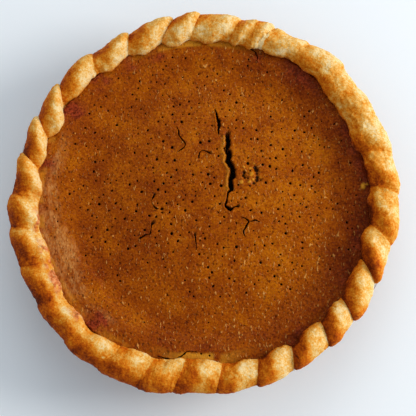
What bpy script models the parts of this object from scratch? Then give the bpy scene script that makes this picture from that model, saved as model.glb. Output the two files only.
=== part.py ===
"""A whole baked pumpkin pie in its clear glass pie plate.

Three pieces, nested like the real ones and kept a hair apart:
  dish     a turned glass pie plate with a flat flange
  crust    one pastry shell: floor, wall and the hand-crimped rope that lies on the flange
  filling  the set custard, solid from the pastry floor to its cracked surface

The origin is the middle of the flat base. +Z is up. Sizes are in millimetres until MM
turns them into Blender's metres, and angles run anticlockwise from +X as seen from above.
"""

import math

import bmesh
import bpy

MM = 0.001
GAP = 0.3               # clearance between two pieces that touch
ROUND_STEPS = 64        # sides of a turned piece

# The pie plate.
GLASS = 4.5             # thickness of floor, wall and flange
DISH_HEIGHT = 38.0      # base to top of flange
RIM_RADIUS = 122.0      # outside of the flange
WELL_RADIUS = 113.0     # inside of the wall at the flange
FLOOR_RADIUS = 90.0     # inside of the wall at the floor
FLOOR_FILLET = 7.0      # where floor and wall meet inside
FOOT_FILLET = 6.0       # where base and wall meet outside

# The pastry shell.
PASTRY = 3.4            # thickness of floor and wall
ROPE_HEIGHT = 10.4      # flange to crest of the rope, in the middle of a crimp
PINCH_OUTER = 2.3       # how far a full crease draws in from the outside
PINCH_INNER = 4.0       # from the inside
PINCH_CREST = 4.5       # and down from the crest
SLANT = 3.0             # degrees that a crease turns between its inner and its outer end

# Stretches where the creases turn more: middle and half width in degrees, added degrees.
TWISTS = ((100, 6, 2.5), (155, 18, 2.2), (343, 12, 3.5))

# A crimp's ridge runs askew: the first two numbers are its places between two creases, at
# the inner and at the outer edge of the rope. The next is how full a crimp is: 1 gives a
# plain arch from crease to crease, and a smaller number a plumper one. Creases up to the
# first of the two depths are soft dips, and those from the second on are sharp.
FULLEST_INSIDE = 0.58
FULLEST_OUTSIDE = 0.24
ROUNDNESS = 0.9
SHARP_DEPTHS = (0.5, 1.2)

# The crimps were pinched by hand, so each has its own sizes: the direction of its first
# crease in degrees, its reach outwards and inwards, and the share of the full pinch that
# the crease has.
CRIMPS = (
    (3, 125.5, 105.5, 0.5), (15.5, 126, 103.5, 0.45), (28.5, 126, 104, 0.4),
    (45, 129, 108, 0.5), (57.5, 124.5, 105.5, 0.6), (69.5, 126.5, 104.5, 0.5),
    (74.5, 125.5, 105, 0.25), (80, 126, 104.5, 0.7), (93, 127.5, 104.5, 0.9),
    (102, 125.5, 105, 1.3), (115.5, 123, 105.5, 1.2), (128.5, 124.5, 107, 0.8),
    (143, 123.5, 103.5, 1.2), (155.5, 123, 105, 1.2), (167.5, 122, 103, 0.9),
    (180, 126, 105.5, 0.5), (190, 125, 103, 0.7), (202.5, 125, 105, 0.6),
    (214.5, 126, 106, 0.45), (227.5, 128, 107.5, 0.45), (240, 127, 104.5, 0.5),
    (252, 126.5, 103, 0.4), (262.5, 123.5, 101.5, 0.5), (275, 124.5, 104.5, 0.5),
    (287, 124.5, 104.5, 0.8), (299, 123.5, 104.5, 1.1), (311.5, 124, 105, 1.15),
    (322, 124, 104.5, 1.15), (336, 123, 103, 1.2), (348.5, 126, 105, 0.7))

# Stretches where the inner edge runs smoother: middle and half width in degrees, and the
# share of the inner pinch that is missing there.
CALM_INSIDE = ((20, 25, 0.5), (203, 18, 0.8), (246, 10, 0.6), (310, 40, 0.45))

# Dents of the two edges: middle and half width in degrees, then the size, which is
# negative where the edge moves towards the middle of the pie.
DENTS_OUTSIDE = ((267.5, 3, -0.8),)
DENTS_INSIDE = ((20, 3.5, -2.5), (27.5, 3, 1.5), (144.5, 3, 1.5), (182, 4, -1.2), (195, 4, 1.0),
                (217, 4, 1.5), (229, 3, 1.5), (256, 4, 1.0), (265, 4, -2.0), (302, 2.5, 1.5))

# Cross-section of the rope, from its inner foot over the crest to its outer foot. The
# first number runs from 0 at the inner reach to 1 at the outer reach, the second from 0
# at the seat to 1 at the crest.
ROPE_SECTION = ((0.06, 0.06), (0.00, 0.24), (0.05, 0.54), (0.24, 0.87), (0.50, 1.00),
                (0.74, 0.88), (0.93, 0.56), (1.00, 0.26), (0.96, 0.06), (0.86, 0.00))

# Sections of the loft between a crease and the next, in shares of the crimp.
CRIMP_SHARES = (0.0, 0.14, 0.36, 0.64, 0.86)

# The custard's surface: a low dome in the middle, a ring-shaped trough, and a climb to the
# crust. The heights are those of the surface, and the radii say where each stretch ends.
FILL_MIDDLE = 38.3
FILL_TROUGH = 35.0
FILL_EDGE = 38.7
DOME_RADIUS = 18.0      # the dome's level top
TROUGH_RADIUS = 80.0
CLIMB_END = 103.0
SURFACE_RADII = (0.0, DOME_RADIUS, 38.0, 58.0, TROUGH_RADIUS, 88.0, 95.0, CLIMB_END)

# The long crack: (x, y, half width) along its middle line, then its depth.
CRACK = ((15.3, 45.4, 1.3), (15.3, 41.0, 1.5), (15.8, 38.3, 2.2), (14.5, 35.0, 1.9),
         (15.4, 32.6, 2.6), (16.0, 27.0, 2.3), (18.2, 21.6, 2.5), (18.4, 16.2, 2.4),
         (17.4, 11.5, 1.9), (17.4, 7.4, 2.0), (15.4, 4.6, 0.7))
CRACK_DEPTH = 8.5
CRACK_TAPER = 0.35      # share of the width that is left at the bottom of the crack

WALL_SLOPE = (WELL_RADIUS - FLOOR_RADIUS) / (DISH_HEIGHT - GLASS)
WALL_COS = 1.0 / math.hypot(1.0, WALL_SLOPE)


def clear_scene():
    for obj in list(bpy.data.objects):
        bpy.data.objects.remove(obj, do_unlink=True)


def make_collection(name):
    collection = bpy.data.collections.new(name)
    bpy.context.scene.collection.children.link(collection)
    return collection


def make_material(name, colour, roughness, metallic=0.0, transmission=0.0):
    material = bpy.data.materials.new(name)
    material.use_nodes = True
    shader = material.node_tree.nodes["Principled BSDF"]
    shader.inputs["Base Color"].default_value = (*colour, 1.0)
    shader.inputs["Roughness"].default_value = roughness
    shader.inputs["Metallic"].default_value = metallic
    shader.inputs["Transmission Weight"].default_value = transmission
    return material


def add_object(name, mesh, collection, material):
    obj = bpy.data.objects.new(name, mesh)
    collection.objects.link(obj)
    if material:
        mesh.materials.append(material)
    return obj


# ---------------------------------------------------------------- turned pieces

def inside_wall(depth, height):
    """Radius, at a height, of the surface that lies this deep inside the plate's wall."""
    return FLOOR_RADIUS + (height - GLASS) * WALL_SLOPE - depth / WALL_COS


def fillet(before, corner, after, radius, steps):
    """Points of the arc that rounds a corner of a profile."""
    to_before = math.atan2(before[1] - corner[1], before[0] - corner[0])
    to_after = math.atan2(after[1] - corner[1], after[0] - corner[0])
    half = math.remainder(to_after - to_before, math.tau) / 2.0
    middle = to_before + half
    reach = radius / math.sin(abs(half))
    centre = (corner[0] + reach * math.cos(middle), corner[1] + reach * math.sin(middle))
    sweep = math.copysign(math.pi / 2.0 - abs(half), half)
    turned_away = middle + math.pi
    return [(centre[0] + radius * math.cos(turned_away + sweep * share),
             centre[1] + radius * math.sin(turned_away + sweep * share))
            for share in (1.0 - 2.0 * step / steps for step in range(steps + 1))]


def rounded(corners):
    """A profile through (radius, height, fillet, steps) corners; fillet 0 stays sharp."""
    points = []
    for index, (radius, height, bend, steps) in enumerate(corners):
        if bend:
            points += fillet(corners[index - 1][:2], (radius, height),
                             corners[index + 1][:2], bend, steps)
        else:
            points.append((radius, height))
    return points


def turned(name, profile, collection, material):
    """Turn a profile, which runs from the axis over the top and back to it, round Z."""
    mesh = bpy.data.meshes.new(name)
    verts = [(radius * MM, 0.0, height * MM) for radius, height in profile]
    edges = [(index, index + 1) for index in range(len(verts) - 1)]
    mesh.from_pydata(verts, edges, [])
    obj = add_object(name, mesh, collection, material)
    screw = obj.modifiers.new("turn", 'SCREW')
    screw.axis = 'Z'
    screw.steps = screw.render_steps = ROUND_STEPS
    screw.use_merge_vertices = True
    screw.merge_threshold = 0.00001
    screw.use_smooth_shade = True
    return obj


def dish_profile():
    """Inside of the plate from the middle outwards, then down its outside to the base."""
    under_flange = DISH_HEIGHT - GLASS
    edge = GLASS / 2.0 - 0.05
    return rounded((
        (0.0, GLASS, 0.0, 0),
        (FLOOR_RADIUS, GLASS, FLOOR_FILLET, 3),
        (WELL_RADIUS, DISH_HEIGHT, 2.5, 2),
        (RIM_RADIUS, DISH_HEIGHT, edge, 3),
        (RIM_RADIUS, under_flange, edge, 3),
        (inside_wall(-GLASS, under_flange), under_flange, 1.5, 1),
        (inside_wall(-GLASS, 0.0), 0.0, FOOT_FILLET, 3),
        (0.0, 0.0, 0.0, 0),
    ))


def filling_profile():
    """Surface of the custard from the middle to the crust, then its wall and its floor."""
    depth = PASTRY + 2.0 * GAP
    floor = GLASS + PASTRY + 2.0 * GAP
    top_radius = inside_wall(depth, FILL_EDGE)
    profile = [(radius, surface_height(radius)) for radius in SURFACE_RADII]
    profile.append((top_radius, FILL_EDGE))
    corner = (inside_wall(depth, floor), floor)
    profile += fillet((top_radius, FILL_EDGE), corner, (0.0, floor),
                      FLOOR_FILLET - depth, 2)
    profile.append((0.0, floor))
    return profile


def ease(start, end, value):
    """0 before start, 1 after end, and a smooth change between them."""
    share = min(max((value - start) / (end - start), 0.0), 1.0)
    return share * share * (3.0 - 2.0 * share)


def surface_height(radius):
    dome = (FILL_MIDDLE - FILL_TROUGH) * ease(TROUGH_RADIUS, DOME_RADIUS, radius)
    climb = (FILL_EDGE - FILL_TROUGH) * ease(TROUGH_RADIUS, CLIMB_END, radius)
    return FILL_TROUGH + dome + climb


# ---------------------------------------------------------------- the crimped rope

def bump(angle, middle, half_width):
    """A smooth hill of height 1 round a direction, all in degrees."""
    away = math.remainder(angle - middle, 360.0) / half_width
    return math.exp(-away * away)


def hills(angle, rows):
    return sum(size * bump(angle, middle, width) for middle, width, size in rows)


def crimp_angle(crimp, share, across):
    """Direction of a point of a crimp: its share of the way to the next crease, and how
    far across the rope it is, from 0 inside to 1 outside."""
    start = CRIMPS[crimp][0]
    after = CRIMPS[(crimp + 1) % len(CRIMPS)][0]
    middle = start + ((after - start) % 360.0) * share
    return middle + (SLANT + hills(middle, TWISTS)) * (0.5 - across)


def blended(column, crimp, share):
    """One of the sizes of the crimps, blended from each crimp's middle to the next."""
    near = (crimp - 1 if share < 0.5 else crimp + 1) % len(CRIMPS)
    weight = ease(0.0, 1.0, 0.5 + min(share, 1.0 - share))
    return CRIMPS[crimp][column] * weight + CRIMPS[near][column] * (1.0 - weight)


def slack(share, across, depth):
    """0 along a crimp's ridge and 1 at its creases, which are sharp where they are deep."""
    fullest = FULLEST_INSIDE + (FULLEST_OUTSIDE - FULLEST_INSIDE) * across
    turn = share ** (math.log(0.5) / math.log(fullest))
    sharp = 1.0 - math.sin(math.pi * turn) ** ROUNDNESS
    soft = 0.5 + 0.5 * math.cos(2.0 * math.pi * turn)
    return soft + (sharp - soft) * ease(*SHARP_DEPTHS, depth)


def rope_point(crimp, share, across, up):
    """A point of the rope in millimetres, drawn in towards its creases."""
    angle = crimp_angle(crimp, share, across)
    after = CRIMPS[(crimp + 1) % len(CRIMPS)]
    depth = CRIMPS[crimp][3] * (1.0 - share) + after[3] * share
    pinch = depth * slack(share, across, depth)
    outer = blended(1, crimp, share) + hills(angle, DENTS_OUTSIDE) - PINCH_OUTER * pinch
    calm = 1.0 - hills(angle, CALM_INSIDE)
    inner = (blended(2, crimp, share) + hills(angle, DENTS_INSIDE)
             + PINCH_INNER * calm * pinch)
    radius = inner + (outer - inner) * across
    seat = DISH_HEIGHT + GAP
    height = seat + up * (ROPE_HEIGHT - PINCH_CREST * pinch)
    if radius < inside_wall(PASTRY, seat):
        height = max(height, FILL_EDGE + GAP)
    turn = math.radians(angle)
    return (radius * math.cos(turn), radius * math.sin(turn), height)


def ring_point(crimp, share, across, radius, height):
    """A point of the shell's round wall or floor, in line with the rope above it."""
    turn = math.radians(crimp_angle(crimp, share, across))
    return (radius * math.cos(turn), radius * math.sin(turn), height)


def shell_profile(depth, top):
    """Wall and floor of the shell at a depth inside the plate, from the top inwards."""
    floor = GLASS + depth
    start = (inside_wall(depth, top), top)
    corner = (inside_wall(depth, floor), floor)
    return [start] + fillet(start, corner, (0.0, floor), FLOOR_FILLET - depth, 2)


def crust_rings():
    """Rings of the shell from the middle of its floor, up and over the rope, and back
    underneath. Every ring has one point for each section of each crimp."""
    sections = [(crimp, share) for crimp in range(len(CRIMPS)) for share in CRIMP_SHARES]
    inside = shell_profile(PASTRY + GAP, FILL_EDGE + GAP)
    outside = shell_profile(GAP, DISH_HEIGHT + GAP)
    rings = [[ring_point(*section, 0.0, radius, height) for section in sections]
             for radius, height in reversed(inside)]
    rings += [[rope_point(*section, across, up) for section in sections]
              for across, up in ROPE_SECTION]
    rings += [[ring_point(*section, 1.0, radius, height) for section in sections]
              for radius, height in outside]
    return rings


def loft(name, rings, first_pole, last_pole, collection, material):
    """A closed skin over rings of equal count, shut by a fan at each end."""
    bm = bmesh.new()
    rows = [[bm.verts.new([value * MM for value in point]) for point in ring]
            for ring in rings]
    count = len(rings[0])
    for inner, outer in zip(rows, rows[1:]):
        for index in range(count):
            after = (index + 1) % count
            bm.faces.new((inner[index], outer[index], outer[after], inner[after]))
    first = bm.verts.new([value * MM for value in first_pole])
    last = bm.verts.new([value * MM for value in last_pole])
    for index in range(count):
        after = (index + 1) % count
        bm.faces.new((first, rows[0][index], rows[0][after]))
        bm.faces.new((last, rows[-1][after], rows[-1][index]))
    mesh = bpy.data.meshes.new(name)
    bm.to_mesh(mesh)
    bm.free()
    mesh.shade_smooth()
    return add_object(name, mesh, collection, material)


# ---------------------------------------------------------------- the crack

def crack_cutter(collection):
    """A bent wedge that stands in the custard, narrow at its foot and at both ends."""
    bm = bmesh.new()
    above = FILL_MIDDLE + 3.0
    below = FILL_MIDDLE - CRACK_DEPTH
    rows = []
    for x, y, half in CRACK:
        foot = half * CRACK_TAPER
        corners = ((x - half, y, above), (x + half, y, above),
                   (x + foot, y, below), (x - foot, y, below))
        rows.append([bm.verts.new([value * MM for value in corner]) for corner in corners])
    for row, after in zip(rows, rows[1:]):
        for index in range(4):
            side = (index + 1) % 4
            bm.faces.new((row[index], row[side], after[side], after[index]))
    bm.faces.new(reversed(rows[0]))
    bm.faces.new(rows[-1])
    bmesh.ops.recalc_face_normals(bm, faces=bm.faces)
    mesh = bpy.data.meshes.new("crack_cutter")
    bm.to_mesh(mesh)
    bm.free()
    cutter = add_object("crack_cutter", mesh, collection, None)
    cutter.hide_render = True
    cutter.display_type = 'WIRE'
    return cutter


def cut(obj, cutter):
    boolean = obj.modifiers.new("crack", 'BOOLEAN')
    boolean.operation = 'DIFFERENCE'
    boolean.solver = 'EXACT'
    boolean.object = cutter


# ---------------------------------------------------------------- the pie

def main():
    clear_scene()
    pie = make_collection("pumpkin_pie")
    cutters = make_collection("cutters")

    glass = make_material("clear_glass", (0.90, 0.97, 0.94), 0.03, transmission=1.0)
    pastry = make_material("baked_pastry", (0.62, 0.31, 0.08), 0.6)
    custard = make_material("pumpkin_custard", (0.30, 0.07, 0.005), 0.45)

    turned("dish", dish_profile(), pie, glass)
    loft("crust", crust_rings(), (0.0, 0.0, GLASS + PASTRY + GAP), (0.0, 0.0, GLASS + GAP),
         pie, pastry)
    filling = turned("filling", filling_profile(), pie, custard)
    cut(filling, crack_cutter(cutters))


main()
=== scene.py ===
"""Looks of the pumpkin pie: crust, custard and glass at full detail, round the CAD frame.

Sizes are in millimetres until MM turns them into metres. Angles are in degrees and run
anticlockwise from +X as seen from above.
"""

import math

import bpy
import numpy as np
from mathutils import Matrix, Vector, geometry


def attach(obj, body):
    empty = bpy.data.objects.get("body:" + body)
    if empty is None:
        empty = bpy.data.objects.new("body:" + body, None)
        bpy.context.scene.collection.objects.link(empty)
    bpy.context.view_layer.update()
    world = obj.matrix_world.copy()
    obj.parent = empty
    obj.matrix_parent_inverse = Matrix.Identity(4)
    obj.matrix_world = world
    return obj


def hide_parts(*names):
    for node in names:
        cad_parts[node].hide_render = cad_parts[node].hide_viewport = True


MM = 0.001

# ---- sizes shared with part.py
GLASS = 4.5
DISH_HEIGHT = 38.0
RIM_RADIUS = 122.0
WELL_RADIUS = 113.0
FLOOR_RADIUS = 90.0
FLOOR_FILLET = 7.0
FOOT_FILLET = 6.0
PASTRY = 3.4
ROPE_HEIGHT = 10.4
PINCH_OUTER = 2.3
PINCH_INNER = 4.0
PINCH_CREST = 4.5
SLANT = 3.0
TWISTS = ((100, 6, 2.5), (155, 18, 2.2), (343, 12, 3.5))
FULLEST_INSIDE = 0.58
FULLEST_OUTSIDE = 0.24
ROUNDNESS = 0.9
SHARP_DEPTHS = (0.5, 1.2)
CRIMPS = (
    (3, 125.5, 105.5, 0.5), (15.5, 126, 103.5, 0.45), (28.5, 126, 104, 0.4), (45, 129, 108, 0.5),
    (57.5, 124.5, 105.5, 0.6), (69.5, 126.5, 104.5, 0.5), (74.5, 125.5, 105, 0.25),
    (80, 126, 104.5, 0.7), (93, 127.5, 104.5, 0.9), (102, 125.5, 105, 1.3),
    (115.5, 123, 105.5, 1.2), (128.5, 124.5, 107, 0.8), (143, 123.5, 103.5, 1.2),
    (155.5, 123, 105, 1.2), (167.5, 122, 103, 0.9), (180, 126, 105.5, 0.5), (190, 125, 103, 0.7),
    (202.5, 125, 105, 0.6), (214.5, 126, 106, 0.45), (227.5, 128, 107.5, 0.45),
    (240, 127, 104.5, 0.5), (252, 126.5, 103, 0.4), (262.5, 123.5, 101.5, 0.5),
    (275, 124.5, 104.5, 0.5), (287, 124.5, 104.5, 0.8), (299, 123.5, 104.5, 1.1),
    (311.5, 124, 105, 1.15), (322, 124, 104.5, 1.15), (336, 123, 103, 1.2),
    (348.5, 126, 105, 0.7))
CALM_INSIDE = ((20, 25, 0.5), (203, 18, 0.8), (246, 10, 0.6), (310, 40, 0.45))
DENTS_OUTSIDE = ((267.5, 3, -0.8),)
DENTS_INSIDE = (
    (20, 3.5, -2.5), (27.5, 3, 1.5), (144.5, 3, 1.5), (182, 4, -1.2), (195, 4, 1.0),
    (217, 4, 1.5), (229, 3, 1.5), (256, 4, 1.0), (265, 4, -2.0), (302, 2.5, 1.5))
ROPE_SECTION = (
    (0.06, 0.06), (0.00, 0.24), (0.05, 0.54), (0.24, 0.87), (0.50, 1.00), (0.74, 0.88),
    (0.93, 0.56), (1.00, 0.26), (0.96, 0.06), (0.86, 0.00))
FILL_EDGE = 38.7
FILL_MIDDLE = 38.3
FILL_TROUGH = 35.0
DOME_RADIUS = 18.0
TROUGH_RADIUS = 80.0
CLIMB_END = 103.0

WALL_SLOPE = (WELL_RADIUS - FLOOR_RADIUS) / (DISH_HEIGHT - GLASS)
WALL_COS = 1.0 / math.hypot(1.0, WALL_SLOPE)

# ---- detail of this model
SINK = 0.25           # how far the pastry reaches into the glass, so no gap shows
OVERLAP = 0.2         # how far the custard reaches into the pastry
CRIMP_COLUMNS = 34    # columns of the crust's grid in each crimp
ROPE_ROWS = 72        # rows over the rope
DISH_SIDES = 192      # sides of the turned plate
GRID_STEP = 0.95      # spacing of the custard's surface points
FILL_RIM = 109.2      # the custard's surface runs under the rope to here
FILL_SIDES = 360      # points round that edge
PINHOLES = 380        # listed and scattered, together
CRATERS = 380         # bubbles that never burst
DIMPLES = 300         # faint dents between them
HOLE_REACH = 101.0    # how far out pinholes are scattered
CRATER_REACH = 103.0
DIMPLE_REACH = 104.0
HOLE_SIDES = 9        # points round a pinhole or a crater
PIT_DEPTH = 1.8       # of the pits in the burst bubble
LEDGE = 0.7           # rise of the dried skin's edge
SHADED_SIDE = (-0.70, -0.55, 0.05)  # the side turned from the window light: painted shade, and some browning
SHADE_SHARE = 0.31      # how much browner the painted shade makes that side
PALEST = 0.10         # how brown the palest pastry is, but for the torn edge
WORN = (222, 22)      # where the crimps run into each other: direction, half width
TEAR_ANGLE = 69.5     # the pastry's lapped end: its direction, and its turn across
TEAR_LEAN = 5.0
RAW_BAKE = -0.05      # how brown the torn edge is


# ---- small maths

def turns(sides):
    """Directions of evenly spaced points round a ring, in radians."""
    return [2.0 * math.pi * k / sides for k in range(sides)]


def polar(x, y):
    """Radius and direction of places on the custard."""
    return np.hypot(x, y), np.degrees(np.arctan2(y, x))


def in_space(x, y):
    """Pairs of numbers as (N, 3) points, which lumps can read."""
    return np.stack([x, y, np.zeros_like(x)], axis=1)


def bump(angle, middle, half_width):
    """A smooth hill of height 1 round a direction."""
    away = (np.asarray(angle) - middle + 180.0) % 360.0 - 180.0
    return np.exp(-(away / half_width) ** 2)


def hills(angle, rows):
    """A sum of such hills, from rows of direction, half width and height."""
    return sum(size * bump(angle, middle, width) for middle, width, size in rows)


def ease(low, high, value):
    """0 below low, 1 above high, and smooth between."""
    share = np.clip((np.asarray(value, float) - low) / (high - low), 0.0, 1.0)
    return share * share * (3.0 - 2.0 * share)


LUMP_TABLE = 8192  # random values behind the lumps
LUMP_PRIMES = (73856093, 19349663, 83492791)


def lumps(points, size, seed):
    """Smooth random lumps of about this size, between -1 and 1, at (N, 3) points."""
    table = np.random.default_rng(seed).uniform(-1.0, 1.0, LUMP_TABLE)
    cells = points / size + 1000.0
    low = np.floor(cells).astype(np.int64)
    share = ease(0.0, 1.0, cells - low)
    total = np.zeros(points.shape[0])
    for corner in range(8):
        step = np.array([(corner >> axis) & 1 for axis in range(3)])
        key = (low + step) @ np.array(LUMP_PRIMES)
        weight = np.prod(np.where(step == 1, share, 1.0 - share), axis=1)
        total += table[key % LUMP_TABLE] * weight
    return total


def catmull_rom(points, count):
    """A smooth curve through points, as count points at even steps of its length."""
    ends = [2 * points[0] - points[1]] + list(points) + [2 * points[-1] - points[-2]]
    curve = []
    for a, b, c, d in zip(ends, ends[1:], ends[2:], ends[3:]):
        for t in np.linspace(0.0, 1.0, 24, endpoint=False):
            curve.append(0.5 * (2 * b + (c - a) * t + (2 * a - 5 * b + 4 * c - d) * t * t
                                + (3 * b - a - 3 * c + d) * t ** 3))
    curve = np.array(curve + [points[-1]])
    length = np.concatenate([[0.0], np.cumsum(np.linalg.norm(np.diff(curve, axis=0), axis=1))])
    even = np.linspace(0.0, length[-1], count)
    return np.stack([np.interp(even, length, column) for column in curve.T], 1)


def inside_wall(depth, height):
    """Radius at this height, this far in from the plate's inner wall."""
    return FLOOR_RADIUS + (height - GLASS) * WALL_SLOPE - depth / WALL_COS


def fillet(before, corner, after, radius, steps):
    to_before = math.atan2(before[1] - corner[1], before[0] - corner[0])
    to_after = math.atan2(after[1] - corner[1], after[0] - corner[0])
    half = math.remainder(to_after - to_before, math.tau) / 2.0
    middle = to_before + half
    reach = radius / math.sin(abs(half))
    centre = (corner[0] + reach * math.cos(middle), corner[1] + reach * math.sin(middle))
    sweep = math.copysign(math.pi / 2.0 - abs(half), half)
    return [(centre[0] + radius * math.cos(middle + math.pi + sweep * share),
             centre[1] + radius * math.sin(middle + math.pi + sweep * share))
            for share in (1.0 - 2.0 * step / steps for step in range(steps + 1))]


# ---- meshes

def add_object(name, data):
    thing = bpy.data.objects.new(name, data)
    bpy.context.scene.collection.objects.link(thing)
    return thing


def add_mesh(name, points, faces, material):
    mesh = bpy.data.meshes.new(name)
    mesh.from_pydata(points, [], faces)
    mesh.materials.append(material)
    return add_object(name, mesh)


def add_piece(name, verts, faces, material, node):
    """A smooth mesh in metres that rides on the pie and stands for a CAD node."""
    points = (np.asarray(verts) * MM).tolist()
    piece = add_mesh(name, points, faces, material)
    piece.data.validate()
    piece.data.shade_smooth()
    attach(piece, "root")
    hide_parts(node)
    return piece


def add_attribute(piece, name, values):
    layer = piece.data.attributes.new(name, 'FLOAT', 'POINT')
    layer.data.foreach_set("value", np.asarray(values, dtype=np.float32))


def grid_faces(rows, columns):
    """Quads of a grid that closes round its columns."""
    row = np.arange(rows - 1)[:, None]
    column = np.arange(columns)[None, :]
    after = (column + 1) % columns
    here = row * columns
    quads = np.stack([here + column, here + columns + column,
                      here + columns + after, here + after], axis=-1)
    return quads.reshape(-1, 4).tolist()


def fan(pole, ring, outward):
    """Triangles from a pole to a closed ring of vertex numbers."""
    pairs = zip(ring, [*ring[1:], ring[0]])
    return [(pole, a, b) if outward else (pole, b, a) for a, b in pairs]


def closed_faces(rows, columns):
    """Faces of a grid that two poles shut, one at its first row and one at its last."""
    pole = rows * columns
    return (grid_faces(rows, columns) + fan(pole, range(columns), True)
            + fan(pole + 1, range(pole - columns, pole), False))


# ---- nodes of the materials

class Nodes:
    """Short calls for building a node tree."""

    def __init__(self, name):
        self.material = bpy.data.materials.new(name)
        self.material.use_nodes = True
        self.tree = self.material.node_tree
        self.shader = self.tree.nodes["Principled BSDF"]

    def put(self, socket, value):
        if isinstance(value, bpy.types.NodeSocket):
            self.tree.links.new(value, socket)
        elif isinstance(value, tuple) and len(value) == 3:
            socket.default_value = (*value, 1.0) if socket.type == 'RGBA' else value
        else:
            socket.default_value = value

    def fill(self, node, inputs):
        for name, value in inputs.items():
            self.put(node.inputs[name.replace("_", " ")], value)
        return node

    def new(self, kind, **inputs):
        """A node with these numbers, colours or sockets at its named inputs."""
        return self.fill(self.tree.nodes.new("ShaderNode" + kind), inputs)

    def set(self, **inputs):
        """Sets the shader's own sockets, and gives the material back."""
        self.fill(self.shader, inputs)
        return self.material

    def attribute(self, name):
        node = self.new("Attribute")
        node.attribute_name = name
        return node.outputs["Fac"]

    def place(self, stretch=None):
        """Where the point lies; noise read at a stretched place has longer lumps."""
        here = self.new("TexCoord").outputs["Object"]
        if not stretch:
            return here
        scale = tuple(1.0 / share for share in stretch)
        return self.new("Mapping", Vector=here, Scale=scale).outputs["Vector"]

    def noise(self, size, detail=3.0, rough=0.55, at=None):
        """Noise whose lumps are about size millimetres wide."""
        return self.new("TexNoise", Scale=1.0 / (size * MM), Detail=detail, Roughness=rough,
                        Vector=at or self.place()).outputs["Fac"]

    def cells(self, size):
        """Distance to the nearest of scattered points about size millimetres apart."""
        return self.new("TexVoronoi", Scale=1.0 / (size * MM),
                        Vector=self.place()).outputs["Distance"]

    def maths(self, operation, a, b, clamp=False):
        node = self.new("Math")
        node.operation = operation
        node.use_clamp = clamp
        self.put(node.inputs[0], a)
        self.put(node.inputs[1], b)
        return node.outputs[0]

    def remap(self, value, low, high, to_low=0.0, to_high=1.0):
        return self.new("MapRange", Value=value, From_Min=low, From_Max=high, To_Min=to_low,
                        To_Max=to_high).outputs[0]

    def mix(self, share, a, b):
        node = self.new("Mix")
        node.data_type = 'RGBA'
        for index, entry in ((0, share), (6, a), (7, b)):   # its sockets for colours
            self.put(node.inputs[index], entry)
        return node.outputs[2]

    def ramp(self, value, stops):
        node = self.new("ValToRGB", Fac=value)
        elements = node.color_ramp.elements
        while len(elements) < len(stops):
            elements.new(0.5)
        for element, (position, colour) in zip(elements, stops):
            element.position = position
            element.color = (*colour, 1.0)
        return node.outputs[0]

    def bump(self, height, distance, under=None):
        """Relief of this many millimetres."""
        node = self.new("Bump", Distance=distance * MM, Height=height)
        if under:
            self.put(node.inputs["Normal"], under)
        return node.outputs[0]


def pastry_material():
    n = Nodes("baked_pastry")
    mottle = n.maths('SUBTRACT', n.noise(7.0, 4.0, 0.6), 0.5)
    speckle = n.maths('SUBTRACT', n.noise(1.3, 4.0, 0.75), 0.5)
    bake_and_shade = n.maths('ADD', n.attribute("bake_and_shade"), n.maths('MULTIPLY', mottle, 0.85))
    bake_and_shade = n.maths('ADD', bake_and_shade, speckle, clamp=True)
    crust = n.ramp(bake_and_shade, ((0.00, (0.84, 0.62, 0.30)), (0.18, (0.78, 0.41, 0.080)),
                          (0.40, (0.70, 0.215, 0.008)), (0.60, (0.53, 0.100, 0.002)),
                          (0.80, (0.29, 0.040, 0.002)), (1.00, (0.10, 0.014, 0.002))))
    smear = n.ramp(n.noise(2.2, 3.0, 0.6), ((0.36, (0.24, 0.030, 0.008)),
                                            (0.50, (0.58, 0.130, 0.040)),
                                            (0.64, (0.78, 0.300, 0.120))))
    stained = n.mix(n.attribute("stain"), crust, smear)
    fine = n.bump(n.noise(0.9, 3.0, 0.6), 0.36)
    coarse = n.bump(n.noise(2.6, 2.0), 0.45, under=fine)
    gloss = n.remap(n.attribute("stain"), 0.0, 1.0, 0.55, 0.25)
    return n.set(Base_Color=stained, Roughness=gloss, Normal=coarse, Specular_IOR_Level=0.04)


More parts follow.
